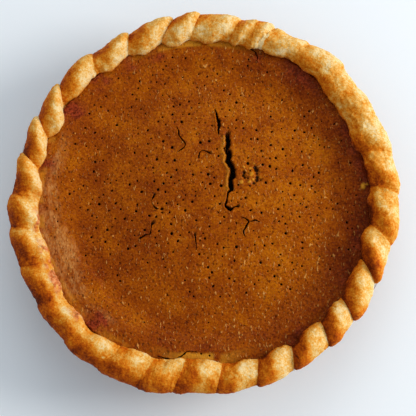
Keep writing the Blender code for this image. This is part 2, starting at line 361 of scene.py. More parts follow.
def custard_material():
    n = Nodes("pumpkin_custard")
    cloud = n.noise(14.0, 3.0)
    grain = n.noise(1.3, 3.0, 0.65)
    tone = n.maths('ADD', n.maths('MULTIPLY', cloud, 0.40), n.maths('MULTIPLY', grain, 0.60))
    # Painted light and shade across the custard darkens or lightens its tone.
    tone = n.maths('ADD', tone, n.attribute("light_and_shade"))
    skin = n.ramp(tone, ((0.20, (0.085, 0.008, 0.0003)), (0.35, (0.18, 0.025, 0.0003)),
                         (0.50, (0.31, 0.060, 0.0003)), (0.66, (0.48, 0.130, 0.0010))))
    dots = n.remap(n.noise(1.5, 0.0), 0.33, 0.22)
    dotted = n.mix(n.maths('MULTIPLY', dots, 0.7, clamp=True), skin, (0.08, 0.010, 0.0003))
    # Painted highlights: pale specks for the lit walls of small bumps, fewer in the painted shade.
    specks = n.noise(1.7, 1.0, 0.5, at=n.place((0.78, 1.8, 1.0)))
    seen = n.remap(n.attribute("light_and_shade"), -0.16, -0.02, 0.35, 0.74)
    shown = n.remap(n.maths('ADD', specks, n.attribute("glint_share")), 0.655, 0.77)
    pale = n.maths('MULTIPLY', shown, seen, clamp=True)
    glinted = n.mix(pale, dotted, (0.74, 0.33, 0.07))
    # Paler dried skin, partly painted sheen.
    flecks = n.remap(n.noise(2.0, 3.0, 0.65, at=n.place((0.6, 1.7, 1.0))), 0.38, 0.64, 0.10, 1.0)
    dry_and_sheen = n.mix(n.maths('MULTIPLY', n.attribute("dry_and_sheen"), flecks, clamp=True), glinted,
                (0.58, 0.245, 0.065))
    crumbs_and_lip_highlight = n.mix(n.attribute("crumb"), dry_and_sheen, (0.76, 0.33, 0.02))
    # Painted shade: near black down the pinholes, cracks and pits.
    deep = n.mix(n.attribute("deep"), crumbs_and_lip_highlight, (0.012, 0.003, 0.0008))
    syrup = n.ramp(grain, ((0.35, (0.08, 0.008, 0.001)), (0.65, (0.36, 0.050, 0.012))))
    red = n.mix(n.attribute("stain"), deep, syrup)
    pits = n.remap(n.cells(3.4), 0.05, 0.34)
    pitted = n.bump(pits, 0.32)
    fine = n.bump(n.noise(0.9, 2.0), 0.20, under=pitted)
    coarse = n.bump(n.noise(2.4, 2.0), 0.42, under=fine)
    ridges = n.bump(n.remap(specks, 0.62, 0.76), 0.40, under=coarse)
    rough = n.remap(n.noise(5.0, 2.0), 0.3, 0.7, 0.20, 0.34)
    return n.set(Base_Color=red, Roughness=rough, Normal=ridges, Specular_IOR_Level=0.05)


def glass_material():
    n = Nodes("clear_glass")
    haze = n.remap(n.noise(25.0, 2.0), 0.35, 0.75, 0.02, 0.07)
    return n.set(Base_Color=(0.93, 0.985, 0.955), Roughness=haze, Transmission_Weight=1.0,
                 IOR=1.47)


# ---- the crust

def crimp_columns():
    """Crimp number and share of the crimp of every column, closer together at creases."""
    even = np.arange(CRIMP_COLUMNS) / CRIMP_COLUMNS
    share = even - 0.07 * np.sin(2.0 * math.pi * even)
    crimp = np.repeat(np.arange(len(CRIMPS)), CRIMP_COLUMNS)
    return crimp, np.tile(share, len(CRIMPS))


def crimp_angle(crimp, share, across):
    start = np.array(CRIMPS)[:, 0]
    width = (np.roll(start, -1) - start) % 360.0
    middle = start[crimp] + width[crimp] * share
    return middle + (SLANT + hills(middle, TWISTS)) * (0.5 - across)


def blended(column, crimp, share):
    """One of the sizes of the crimps, blended from each crimp's middle to the next."""
    sizes = np.array(CRIMPS)[:, column]
    near = np.where(share < 0.5, crimp - 1, crimp + 1) % len(CRIMPS)
    weight = ease(0.0, 1.0, 0.5 + np.minimum(share, 1.0 - share))
    return sizes[crimp] * weight + sizes[near] * (1.0 - weight)


def flank(share):
    """1 on the side of a crimp that rises from its crease, -1 on the side that falls."""
    return 1.0 - 2.0 * ease(0.30, 0.60, share)


def worn_flank(share):
    """The same, but without a step at the crease, for crimps that run into each other."""
    return 0.8 * np.cos(2.0 * math.pi * (share - 0.15))


def slack(share, across, depth):
    """0 along a crimp's ridge, which runs askew, and 1 at its creases; sharp if deep."""
    fullest = FULLEST_INSIDE + (FULLEST_OUTSIDE - FULLEST_INSIDE) * across
    turn = share ** (math.log(0.5) / math.log(fullest))
    sharp = 1.0 - np.maximum(np.sin(math.pi * turn), 0.0) ** ROUNDNESS
    soft = 0.5 + 0.5 * np.cos(2.0 * math.pi * turn)
    return soft + (sharp - soft) * ease(*SHARP_DEPTHS, depth)


def crease_depth(crimp, share):
    depths = np.array(CRIMPS)[:, 3]
    return depths[crimp] * (1.0 - share) + depths[(crimp + 1) % len(CRIMPS)] * share


def pinched(crimp, share, across, pinch):
    """Outer reach, inner reach and rise of the rope, each drawn in towards the creases."""
    angle = crimp_angle(crimp, share, across)
    inside = PINCH_INNER * (1.0 - hills(angle, CALM_INSIDE))
    return (blended(1, crimp, share) + hills(angle, DENTS_OUTSIDE) - PINCH_OUTER * pinch,
            blended(2, crimp, share) + hills(angle, DENTS_INSIDE) + inside * pinch,
            ROPE_HEIGHT - PINCH_CREST * pinch)


def tear(angle, across, flat):
    """The lapped end of the pastry: its rise in millimetres, and how raw its edge is."""
    torn = lumps(flat, 3.0, 12) + 0.6 * lumps(flat, 1.3, 13)
    past = angle - TEAR_ANGLE - TEAR_LEAN * (0.5 - across) + 0.5 * torn.reshape(angle.shape)
    lap = ease(-4.0, -0.3, past) * ease(0.5, 0.0, past)
    flake = bump(past, -1.5, 1.5) * ease(0.75, 0.92, across)
    width = 0.5 + 1.6 * ease(0.5, 0.0, across)
    raw = ease(-width - 0.4, -width, past) * ease(0.5, 0.1, past) * ease(0.80, 0.45, across)
    return 0.8 * lap + 0.9 * flake, raw


def rope_rows(crimp, share):
    """The rope's section, and every point's angle, radius, height and how pinched it is."""
    section = catmull_rom(np.array(ROPE_SECTION), ROPE_ROWS)
    rows = []
    vigour = np.random.default_rng(5).uniform(-1.0, 1.0, len(CRIMPS))[crimp]
    depth = crease_depth(crimp, share)
    for across, up in section:
        crest = 1.0 - slack(share, across, depth)
        outer, inner, rise = pinched(crimp, share, across, depth * (1.0 - crest))
        rows.append((crimp_angle(crimp, share, across), inner + (outer - inner) * across,
                     DISH_HEIGHT + up * (rise + 0.5 * vigour * crest), 1.0 - crest))
    return section, *np.array(rows).swapaxes(0, 1)


def wall_rows(profile, crimp, share, across):
    angle = crimp_angle(crimp, share, across)
    return [(angle, np.full_like(angle, radius), np.full_like(angle, height))
            for radius, height in profile]


def shell_profile(depth, top, steps):
    """A line down the plate's inner wall and round its foot, this far in from the glass."""
    floor = GLASS + depth
    start = (inside_wall(depth, top), top)
    corner = (inside_wall(depth, floor), floor)
    return [start] + fillet(start, corner, (0.0, floor), FLOOR_FILLET - depth, steps)


def grid_normals(grid):
    """Outward directions over a (rows, columns, 3) grid that closes round its columns."""
    along = np.roll(grid, -1, axis=1) - np.roll(grid, 1, axis=1)
    over = np.gradient(grid, axis=0)
    normal = np.cross(over, along)
    length = np.linalg.norm(normal, axis=2, keepdims=True)
    return normal / np.maximum(length, 1e-9)


def crust_grid(crimp, share):
    """Points of the shell, from its floor over the rope to its underside, before relief."""
    section, angles, radii, heights, pinches = rope_rows(crimp, share)
    inside = shell_profile(PASTRY, FILL_EDGE - 1.5, 5)[::-1]
    outside = [(RIM_RADIUS - 4.0, DISH_HEIGHT - SINK)] + shell_profile(-SINK, DISH_HEIGHT - SINK, 6)
    before = wall_rows(inside, crimp, share, 0.0)
    after = wall_rows(outside, crimp, share, 1.0)
    rows = before + list(zip(angles, radii, heights)) + after
    angles, radii, heights = (np.array(column) for column in zip(*rows))
    turn = np.radians(angles)
    grid = np.stack([radii * np.cos(turn), radii * np.sin(turn), heights], axis=2)
    return grid, angles, section, pinches, slice(len(before), len(before) + ROPE_ROWS)


def rope_relief(flat, angle, across, up):
    """How far lumps, flakes and the lapped end stand out, and how raw the torn edge is."""
    around, over = angle.ravel(), across.ravel()
    arc = in_space(around * 2.0, over * 5.0)
    relief = (0.60 * lumps(flat, 13.0, 1) + 0.36 * lumps(flat, 5.0, 2)
              + 0.20 * lumps(flat, 2.0, 3) + 0.16 * lumps(arc, 1.0, 4))
    relief += 0.35 * bump(around, 22, 26) * lumps(flat, 1.7, 7)
    ragged = 0.55 + 0.60 * bump(around, 30, 24)
    relief += ragged * lumps(flat, 3.6, 6) * ease(0.22, 0.05, over)
    lap, raw = tear(angle, across, flat)
    return (relief.reshape(across.shape) + lap) * ease(0.0, 0.15, up), raw


def build_crust(material):
    crimp, share = crimp_columns()
    grid, angles, section, pinches, rope = crust_grid(crimp, share)
    across = np.repeat(section[:, :1], angles.shape[1], axis=1)
    up = np.repeat(section[:, 1:], angles.shape[1], axis=1)
    flat = grid[rope].reshape(-1, 3)    # a view, so that it follows the relief
    angle = angles[rope]
    relief, raw = rope_relief(flat, angle, across, up)
    grid[rope] += grid_normals(grid[rope]) * relief[:, :, None]
    poles = [(0.0, 0.0, GLASS + PASTRY), (0.0, 0.0, GLASS - SINK)]
    verts = np.concatenate([grid.reshape(-1, 3), poles])
    crust = add_piece("crust_baked", verts, closed_faces(*angles.shape), material,
                      "crust")

    bake_and_shade = np.full(angles.shape, 0.42)
    stain = np.zeros(angles.shape)
    worn = bump(angle, *WORN)
    side = flank(share) * (1.0 - worn) + worn_flank(share) * worn
    bake_and_shade[rope], stain[rope] = browning_and_shade(angle, across, up, pinches, flat,
                                       grid_normals(grid[rope]), side)
    bake_and_shade[rope] += (RAW_BAKE - bake_and_shade[rope]) * raw
    add_attribute(crust, "bake_and_shade", np.append(bake_and_shade.ravel(), [0.4, 0.4]))
    add_attribute(crust, "stain", np.append(stain.ravel(), [0.0, 0.0]))


# Some are browning and some are painted light and shade, as the dark spot deep in the crease at
# 299.7.
# Darker and paler spots: direction, place across the rope, half widths of both, amount.
SPOTS = (
    (8, 0.38, 4, 0.22, 0.14), (20, 0.30, 4, 0.28, 0.05), (36.5, 0.55, 2, 0.12, 0.25),
    (53, 0.30, 4, 0.20, 0.12), (33, 0.12, 3, 0.15, -0.22), (47, 0.45, 1.3, 0.25, -0.20),
    (63, 0.20, 4, 0.20, -0.12), (71, 0.90, 3, 0.30, 0.12), (97, 0.35, 3, 0.25, -0.16),
    (302, 0.45, 2, 0.30, 0.10), (291, 0.45, 2, 0.35, 0.10), (150, 1.00, 28, 0.20, -0.12),
    (212, 0.28, 36, 0.13, -0.10), (140, 0.25, 28, 0.20, -0.10), (343, 0.40, 3, 0.25, 0.10),
    (238.5, 0.58, 0.6, 0.05, -0.50), (299.7, 0.58, 0.3, 0.12, 0.50),
    (355.5, 0.02, 3.5, 0.13, 0.35), (19.5, 0.50, 1.8, 0.40, -0.10), (325, 0.00, 30, 0.14, 0.36),
    (331, 0.45, 6, 0.25, -0.12), (351, 0.42, 4, 0.28, -0.14), (342, 0.65, 4, 0.30, 0.12),
    (50, 0.42, 12, 0.30, -0.16), (26, 0.50, 20, 0.20, -0.06), (107, 0.50, 9, 0.22, 0.15),
    (212, 0.45, 20, 0.16, 0.12), (184, 0.25, 16, 0.12, -0.12), (164, 0.38, 7, 0.20, -0.13),
    (288, 0.00, 11, 0.14, 0.26), (242, 0.00, 7, 0.10, 0.14), (22, 0.10, 7, 0.20, 0.10),
    (66, 0.40, 20, 0.45, -0.09), (138, 0.55, 14, 0.35, -0.05))
# Some of these are painted light, making sides that lie in shade paler.
# Broad browning of the rope's outer and inner sides: direction, half width, amount.
OUTER_BAKE = (
    (222, 65, 0.17), (130, 38, 0.12), (166, 12, -0.06), (33, 34, -0.12), (318, 32, -0.03),
    (282, 14, -0.06))
INNER_BAKE = (
    (10, 14, 0.05), (48, 22, -0.09), (70, 16, -0.08), (132, 30, -0.17), (30, 13, -0.18),
    (225, 16, 0.05), (345, 15, -0.04))
# Where custard stains the rope: direction, half width, strength.
STAINS = ((200, 22, 0.35), (187.5, 3, 0.9), (201, 4.5, 0.9), (211.5, 5, 1.0), (223.5, 3, 0.8))


def browning_and_shade(angle, across, up, pinch, flat, facing, side):
    """How brown the rope is, from 0 pale to 1 dark, with painted shade, and where custard stains
    it.
    """
    outside = ease(0.30, 0.80, across)
    inside = ease(0.30, 0.0, across)
    top = bump(angle, 102, 30)
    patches = (lumps(flat, 16.0, 11) + 0.8 * lumps(flat, 6.0, 14)).reshape(angle.shape)
    turn = np.radians(angle)
    backwards = SHADED_SIDE[0] * np.sin(turn) - SHADED_SIDE[1] * np.cos(turn)
    # Painted shade: sides turned away from the window light are painted browner.
    bake_and_shade = 0.35 + SHADE_SHARE * (facing @ np.array(SHADED_SIDE))
    bake_and_shade += hills(angle, OUTER_BAKE) * outside + hills(angle, INNER_BAKE) * inside
    # Painted shade on the crimp flanks that face away from the window light.
    shadow = np.where(backwards > 0.0, 0.17 - 0.04 * outside, 0.09 + 0.05 * outside)
    shadow *= 1.0 + 0.55 * bump(angle, 290, 32)
    bake_and_shade += shadow * side * backwards
    bake_and_shade += 0.10 * patches - 0.22 * top * ease(0.75, 0.45, across)
    # Painted shade in the creases, and a browner lower inner side.
    bake_and_shade += 0.08 * ease(0.4, 1.0, pinch) + 0.16 * inside * ease(0.5, 0.1, up)
    for middle, centre, width, high, amount in SPOTS:
        bake_and_shade += amount * bump(angle, middle, width) * np.exp(-((across - centre) / high) ** 2)
    blotches = ease(-0.3, 0.5, lumps(flat, 4.0, 15) + 0.6 * lumps(flat, 1.6, 16))
    blotches = blotches.reshape(angle.shape)
    wet = 0.95 * ease(0.32, 0.14, across) * hills(angle, STAINS) * blotches
    stain = wet + 0.3 * inside * ease(0.45, 0.15, up)
    return np.maximum(bake_and_shade, PALEST), np.clip(stain, 0.0, 0.85)


# ---- the custard

# Cracks: points (x, y, half width), depth, and how ragged their edges are.
CRACKS = (
    (((15.3, 43.3, 1.4), (15.2, 42.5, 1.6), (15.3, 41.0, 1.5), (15.8, 38.3, 2.2),
      (14.8, 35.6, 1.9), (14.3, 34.2, 1.9), (15.3, 32.7, 2.8), (16.2, 30.2, 2.2),
      (15.8, 27.5, 2.2), (16.0, 25.6, 2.5), (17.0, 23.6, 2.5), (18.2, 21.6, 2.5),
      (18.6, 18.4, 2.3), (18.4, 16.2, 2.4), (17.4, 13.8, 1.9), (17.4, 9.5, 2.0), (17.4, 7.4, 2.0),
      (16.6, 6.0, 1.1), (15.4, 4.6, 0.8), (14.8, 1.0, 0.75), (14.4, -1.4, 0.75),
      (13.8, -3.4, 0.8), (15.2, -4.9, 1.1), (17.0, -5.8, 1.2), (19.0, -4.7, 0.45),
      (21.0, -4.0, 0.7)), 8.5, 0.45),
    (((7.4, 60.2, 0.4), (8.4, 57.0, 0.85), (8.8, 54.8, 0.8), (9.5, 53.3, 1.6), (9.6, 52.0, 1.1),
      (9.9, 50.5, 1.5), (9.7, 49.2, 1.1), (9.3, 47.4, 0.75), (9.4, 44.6, 0.5)), 5.0, 0.25),
    (((-17.6, 49.0, 0.2), (-16.6, 46.4, 0.45), (-16.4, 43.8, 0.55), (-15.4, 42.2, 0.4),
      (-14.0, 40.2, 0.45), (-12.3, 38.0, 0.6), (-12.6, 35.8, 0.4), (-14.4, 34.0, 0.5),
      (-16.8, 32.4, 0.2)), 3.0, 0.3),
    (((-3.4, 29.2, 0.5), (-2.8, 31.6, 0.4), (-0.9, 33.0, 0.35), (1.4, 32.4, 0.35),
      (3.0, 31.6, 0.9)), 3.0, 0.3),
    (((24.3, -11.2, 0.25), (26.4, -12.0, 0.45), (28.4, -13.8, 0.6), (27.0, -17.0, 0.6),
      (25.3, -20.2, 0.6), (25.8, -23.0, 0.25)), 3.0, 0.3),
    (((29.6, -13.9, 0.3), (31.4, -13.4, 0.4), (32.6, -12.9, 0.5),
      (35.0, -13.9, 0.25)), 2.5, 0.25),
    (((-33.0, -14.8, 0.9), (-33.5, -17.0, 0.5), (-34.4, -21.2, 0.5), (-35.2, -22.4, 0.3),
      (-37.6, -22.6, 0.5), (-40.4, -24.0, 0.6)), 2.5, 0.8),
    (((-31.8, 3.6, 0.6), (-32.8, 1.6, 0.4), (-33.6, -0.4, 0.1), (-32.8, -2.8, 0.1),
      (-31.2, -4.6, 0.55), (-29.4, -5.6, 0.3)), 2.5, 0.8),
    (((-5.7, -22.8, 0.75), (-5.4, -25.0, 0.45), (-5.0, -28.0, 0.35),
      (-4.8, -31.6, 0.2)), 2.5, 0.3),
    (((34.7, 92.0, 0.15), (34.9, 95.6, 0.35), (34.0, 98.6, 0.55), (32.0, 100.8, 0.35),
      (29.6, 102.6, 0.45)), 2.0, 0.8),
    (((-28.1, -100.0, 0.25), (-22.4, -101.3, 0.45), (-17.9, -101.4, 0.35), (-13.0, -98.9, 0.45),
      (-9.9, -96.6, 0.35), (-4.9, -97.0, 0.2)), 2.2, 0.7),
)
LIP = 0.55  # width of a crack's rolled lip
SIDE_LIPS = (0.15, 0.55)  # rise of the lip on each side of a crack
LIPPED = slice(0, 18)  # points of the long crack beside which the lip is painted pale, as a highlight
CRACK_STEP = 0.55  # spacing of points along a crack

HAND_SIZE = 1.15  # scales the pinholes that are listed one by one
# Larger pinholes, listed one by one: x, y, radius.
BIG_PINHOLES = (
    (-45, 32, 0.75), (-37, 29.6, 0.75), (2.6, 17, 0.95), (-27, -5.7, 1.05), (-12, -6.8, 0.9),
    (-5, -13.2, 0.75), (12.8, -11, 0.8), (26.6, 1.6, 0.8), (44.5, 13, 0.7), (37, 33, 0.7),
    (51, 34.4, 0.85), (16, -50.4, 0.75), (5, -46.5, 0.8), (44.7, -48.8, 0.8), (-3, -35, 0.7),
    (-21, -15.6, 0.8), (-20, 63.2, 0.7), (-9.8, 58, 0.75), (36, -40.2, 0.85), (49, -54, 0.75),
    (32, -54, 0.7), (48, -13.6, 0.7), (56, -40, 0.65), (-1.8, -98.1, 0.6), (3.5, -99.3, 0.6),
    (-35, -10, 0.85), (-26, 11, 0.8), (-32, 12.5, 0.7), (-43, 13, 0.7), (-26.8, -8.1, 0.65),
    (-22, -8, 0.7), (-17, -2.8, 0.65), (-24, -2, 0.7), (8.4, 34, 0.65), (13, 34.5, 0.6),
    (34, 47, 0.75), (44, 46, 0.75), (47.5, -5.6, 0.75), (52, -15, 0.65), (21, 54, 0.7),
    (25.4, 48.4, 0.7), (58, 3.8, 0.65), (71.5, 6, 0.6), (-9.5, -21, 0.65), (30.5, 41, 0.65),
    (-24, 18, 0.65), (-24, 25, 0.6), (-19.6, -33.6, 0.65), (51, 67.6, 0.65))
BUBBLE = (29.8, 17.6, 6.4)  # a burst bubble with crumbly edges: x, y, radius
BUBBLE_POINTS = 600  # extra points of the mesh round it
BUBBLE_PITS = (
    (32.9, 21.6, 1.3), (33.9, 19.9, 1.5), (34.1, 17.6, 0.9), (34.2, 15.2, 1.1), (34.1, 13.3, 1.3),
    (32.0, 11.2, 1.0), (25.7, 18.2, 1.2), (25.3, 16.4, 1.0), (26.2, 14.9, 0.8), (28.1, 14.3, 0.6),
    (36.6, 13.3, 0.7))
# Pale crumbs: x, y, radius, rise.
CRUMBS = (
    (30.7, 17.2, 1.6, 0.6), (32.5, 24.6, 1.1, 0.5), (29.2, 12.2, 1.3, 0.6),
    (24.2, 11.9, 1.4, 0.7), (31.8, 13.6, 0.9, 0.4), (26.0, 21.9, 0.8, 0.4),
    (29.9, 21.2, 0.9, 0.5), (36.2, 15.4, 0.8, 0.3), (101.8, 8.2, 1.6, 1.2),
    (102.2, 10.0, 1.2, 1.0), (104.6, 10.4, 0.8, 0.8))


def rim_climb(x, y):
    """Custard's height without fine relief: a low dome, a trough, and up to the crust."""
    radius, angle = polar(x, y)
    start = TROUGH_RADIUS - 5.0 * bump(angle, 190, 50)
    dome = (FILL_MIDDLE - FILL_TROUGH) * ease(start, DOME_RADIUS, radius)
    climb = (FILL_EDGE - FILL_TROUGH) * ease(start, CLIMB_END, radius)
    past = radius - skin_edge(angle)
    step = LEDGE * bump(angle, 216, 26) * ease(-0.4, 0.4, past) * ease(103.0, 92.0, radius)
    return FILL_TROUGH + dome + climb + step


def skin_edge(angle):
    """Radius at which the dried skin round the custard begins."""
    turn = np.radians(angle)
    waves = np.sin(11.0 * turn) + 0.8 * np.sin(23.0 * turn) + 0.6 * np.sin(47.0 * turn + 1.0)
    return 94.5 - 9.5 * bump(angle, 213, 25) + 1.1 * waves


def surface(x, y):
    """Height of the custard with its waves, wrinkles, burst bubble and crumbs."""
    points = in_space(x, y)
    radius, angle = polar(x, y)
    ring = in_space(angle / 6.0, radius / 2.2)
    edge = ease(72.0, 100.0, radius)
    height = rim_climb(x, y) + 0.30 * lumps(points, 38.0, 21) + 0.10 * lumps(points, 9.0, 22)
    height += 0.055 * lumps(points, 3.6, 23) + 0.24 * edge * lumps(ring, 1.0, 24)
    away = np.hypot(x - BUBBLE[0], y - BUBBLE[1])
    crumbly = 0.7 * lumps(points, 2.2, 25) + 0.4 * lumps(points, 1.1, 26)
    height += crumbly * ease(BUBBLE[2], BUBBLE[2] * 0.6, away)
    for pit in BUBBLE_PITS:
        height -= PIT_DEPTH * spread(x, y, *pit)
    for crumb_x, crumb_y, size, rise in CRUMBS:
        height += rise * spread(x, y, crumb_x, crumb_y, size)
    return height


def spread(x, y, middle_x, middle_y, size):
    """1 at a place on the custard, and fading to 0 round it."""
    return np.exp(-((x - middle_x) ** 2 + (y - middle_y) ** 2) / size ** 2)


class Surface:
    """Points and edges of the custard's top before it is triangulated."""

    def __init__(self):
        self.points, self.drops, self.deeps, self.edges = [], [], [], []

    def add(self, x, y, drop=0.0, deep=0.0):
        self.points.append((float(x), float(y)))
        self.drops.append(float(drop))
        self.deeps.append(float(deep))
        return len(self.points) - 1

    def line(self, numbers):
        self.edges += list(zip(numbers, numbers[1:]))


def torn_edge(half, ragged, rng):
    """Half widths along one side of a crack, with teeth of two sizes."""
    coarse = rng.uniform(-1.0, 1.0, len(half) // 3 + 2)
    teeth = np.interp(np.arange(len(half)) / 3.0, np.arange(len(coarse)), coarse)
    teeth = teeth + 0.5 * rng.uniform(-1.0, 1.0, len(half))
    return np.maximum(half + ragged * np.minimum(half, 1.2) * teeth, 0.08)


def add_crack(top, path, depth, ragged, seed):
    """A split with torn edges, a rolled lip and walls that close below, in painted shade."""
    line = catmull_rom(np.array(path, float), 400)
    length = np.concatenate([[0], np.cumsum(np.hypot(*np.diff(line[:, :2], axis=0).T))])
    count = max(int(length[-1] / CRACK_STEP), 6)
    even = np.linspace(0.0, length[-1], count)
    x, y, half = (np.interp(even, length, column) for column in line.T)
    along = np.stack([np.gradient(x), np.gradient(y)], axis=1)
    along /= np.linalg.norm(along, axis=1, keepdims=True)
    side = np.stack([-along[:, 1], along[:, 0]], axis=1)
    rng = np.random.default_rng(seed)
    for hand, rise in zip((1.0, -1.0), SIDE_LIPS):
        torn = torn_edge(half, ragged, rng)
        lip = rise * np.minimum(half, 1.2)
        roll = LIP * np.minimum(half, 1.2)
        for offset, drop, deep in ((torn + 2.2 * roll, -0.2 * lip, 0.0),
                                   (torn + 1.1 * roll, -lip, 0.0),
                                   (torn + 0.05, 0.2 * lip, 0.0),
                                   (torn * 0.8, 0.5, 0.6),
                                   (torn * 0.55, 0.5 * depth, 1.0)):
            spot = np.stack([x, y], 1) + hand * offset[:, None] * side
            numbers = [top.add(px, py, d, deep)
                       for (px, py), d in zip(spot, np.broadcast_to(drop, count))]
            if deep:
                top.line(numbers)
    top.line([top.add(px, py, depth, 1.0) for px, py in zip(x, y)])
    return np.stack([x, y, half], axis=1)


def add_pinhole(top, x, y, radius, rng):
    """A small burst bubble: a rim, a lit wall, and a steep wall and a floor in painted shade."""
    squash, lean = rng.uniform(0.72, 1.0), rng.uniform(0.0, math.pi)
    wobble = rng.uniform(0.88, 1.12, HOLE_SIDES)
    depth = 1.2 + 1.6 * radius
    for factor, drop, deep in ((1.5, -0.05, 0.0), (1.12, 0.05, 0.0), (0.86, 0.45, 0.8),
                               (0.66, 0.8 * depth, 1.0)):
        ring = []
        for turn, share in zip(turns(HOLE_SIDES), wobble):
            u, v = math.cos(turn) * squash, math.sin(turn)
            reach = radius * factor * share
            ring.append(top.add(x + reach * (u * math.cos(lean) - v * math.sin(lean)),
                                y + reach * (u * math.sin(lean) + v * math.cos(lean)),
                                drop, deep))
        if deep:
            top.line(ring + ring[:1])
    top.add(x, y, depth, 1.0)


def random_place(limit, rng):
    """Somewhere in a disc of this radius: how far out, x and y."""
    reach = limit * math.sqrt(rng.uniform())
    turn = rng.uniform(0.0, 2.0 * math.pi)
    return reach, reach * math.cos(turn), reach * math.sin(turn)


def clearance(x, y, share, holes, cracks):
    """Distance to the nearest hole, less this share of its radius, and to the nearest crack."""
    return (min(math.hypot(x - h[0], y - h[1]) - share * h[2] for h in holes),
            min((np.hypot(c[:, 0] - x, c[:, 1] - y) - c[:, 2]).min() for c in cracks))


def scatter_pinholes(cracks, rng):
    """Pinholes, fewer towards the crust and the front, clear of each other and of cracks."""
    holes = [np.array((x, y, HAND_SIZE * radius)) for x, y, radius in BIG_PINHOLES]
    while len(holes) < PINHOLES:
        reach, x, y = random_place(HOLE_REACH, rng)
        edge = (reach / HOLE_REACH) ** 2
        if rng.uniform() < 0.75 * reach / HOLE_REACH + 0.35 * ease(-10.0, -60.0, y):
            continue
        radius = 0.56 - 0.10 * edge + (0.68 - 0.36 * edge) * rng.uniform() ** 2
        near_hole, near_crack = clearance(x, y, 1.0, holes, cracks)
        if near_hole > 2.4 * radius + 0.8 and near_crack > 2.4 * radius + 0.6:
            holes.append(np.array((x, y, radius)))
    return holes


def add_crater(top, x, y, radius, rng):
    """A bubble that never burst: a low lip round a shallow crater."""
    squash, lean = rng.uniform(0.5, 0.9), rng.uniform(-0.6, 0.6)
    for factor, drop in ((1.35, -0.06), (1.0, -0.12), (0.52, 0.15 + 0.28 * radius)):
        for turn in turns(HOLE_SIDES):
            u, v = math.cos(turn) * squash * radius * factor, math.sin(turn) * radius * factor
            top.add(x + u * math.cos(lean) - v * math.sin(lean),
                    y + u * math.sin(lean) + v * math.cos(lean), drop)
    top.add(x, y, 0.18 + 0.30 * radius)


def scatter_craters(holes, cracks, rng):
    """Places for the craters, clear of the pinholes, of cracks and of each other."""
    craters = []
    while len(craters) < CRATERS:
        _, x, y = random_place(CRATER_REACH, rng)
        radius = rng.uniform(0.7, 1.5)
        near_hole, near_crack = clearance(x, y, 1.5, holes + craters, cracks)
        if near_hole > 1.5 * radius + 0.4 and near_crack > 1.5 * radius + 0.9:
            craters.append((x, y, radius))
    return craters


def scatter_dimples(holes, rng):
    """Shallow dents: one round each pinhole, and more between them."""
    dimples = [(x, y, 1.0 + 1.2 * radius, 0.30 * radius + 0.06) for x, y, radius in holes]
    for _ in range(DIMPLES):
        _, x, y = random_place(DIMPLE_REACH, rng)
        size = rng.uniform(0.9, 1.9)
        dimples.append((x, y, size, 0.16 * size))
    return dimples


def dented(x, y, dimples):
    """How far the dents sink the surface at these points."""
    sunk = np.zeros_like(x)
    for middle_x, middle_y, size, depth in dimples:
        near = (np.abs(x - middle_x) < 3.0 * size) & (np.abs(y - middle_y) < 3.0 * size)
        sunk[near] += depth * spread(x[near], y[near], middle_x, middle_y, size)
    return sunk


def outside_all(points, circles):
    """Which points lie outside every circle, given by x, y and radius."""
    clear = np.ones(len(points), bool)
    for x, y, reach in circles:
        near = (np.abs(points[:, 0] - x) < reach) & (np.abs(points[:, 1] - y) < reach)
        clear[near] &= np.hypot(points[near, 0] - x, points[near, 1] - y) >= reach
    return clear


def fill_points(rng):
    """Staggered rows of points over the whole disc, a little out of line."""
    rows = np.arange(-FILL_RIM, FILL_RIM, GRID_STEP * math.sqrt(0.75))
    points = []
    for number, y in enumerate(rows):
        x = np.arange(-FILL_RIM, FILL_RIM, GRID_STEP) + 0.5 * GRID_STEP * (number % 2)
        points.append(np.stack([x, np.full_like(x, y)], axis=1))
    points = np.concatenate(points)
    points += rng.uniform(-0.2, 0.2, points.shape) * GRID_STEP
    crumbly = rng.uniform(-BUBBLE[2], BUBBLE[2], (BUBBLE_POINTS, 2)) + BUBBLE[:2]
    points = np.concatenate([points, crumbly])
    return points[np.hypot(points[:, 0], points[:, 1]) < FILL_RIM - 0.8]


def scatter_top(rng):
    """Every point of the custard's top, with the pinholes and the points of its rim."""
    top = Surface()
    cracks = [add_crack(top, path, depth, ragged, 40 + number)
              for number, (path, depth, ragged) in enumerate(CRACKS)]
    holes = scatter_pinholes(cracks, rng)
    for x, y, radius in holes:
        add_pinhole(top, x, y, radius, rng)
    craters = scatter_craters(holes, cracks, rng)
    for x, y, radius in craters:
        add_crater(top, x, y, radius, rng)
    taken = [(x, y, 1.45 * radius + 0.5) for x, y, radius in holes + craters]
    taken += [(x, y, 1.4 * half + 2.2 * LIP * min(half, 1.2) + 0.3)
              for line in cracks for x, y, half in line]
    loose = fill_points(rng)
    for x, y in loose[outside_all(loose, taken)]:
        top.add(x, y)
    rim = [top.add(FILL_RIM * math.cos(turn), FILL_RIM * math.sin(turn))
           for turn in turns(FILL_SIDES)]
    top.line(rim + rim[:1])
    return top, holes, rim


def close_below(verts, faces, ring):
    """Wall and floor, so that the custard is a closed solid inside the pastry."""
    rim_xy = verts[ring][:, :2] / FILL_RIM
    for radius, height in shell_profile(PASTRY - OVERLAP, FILL_EDGE - 3.0, 3):
        extra = np.column_stack([rim_xy * radius, np.full(FILL_SIDES, height)])
        lower = list(range(len(verts), len(verts) + FILL_SIDES))
        verts = np.concatenate([verts, extra])
        faces += zip(ring, lower, lower[1:] + lower[:1], ring[1:] + ring[:1])
        ring = lower
    verts = np.concatenate([verts, [(0.0, 0.0, GLASS + PASTRY - OVERLAP)]])
    return verts, faces + fan(len(verts) - 1, ring, False)


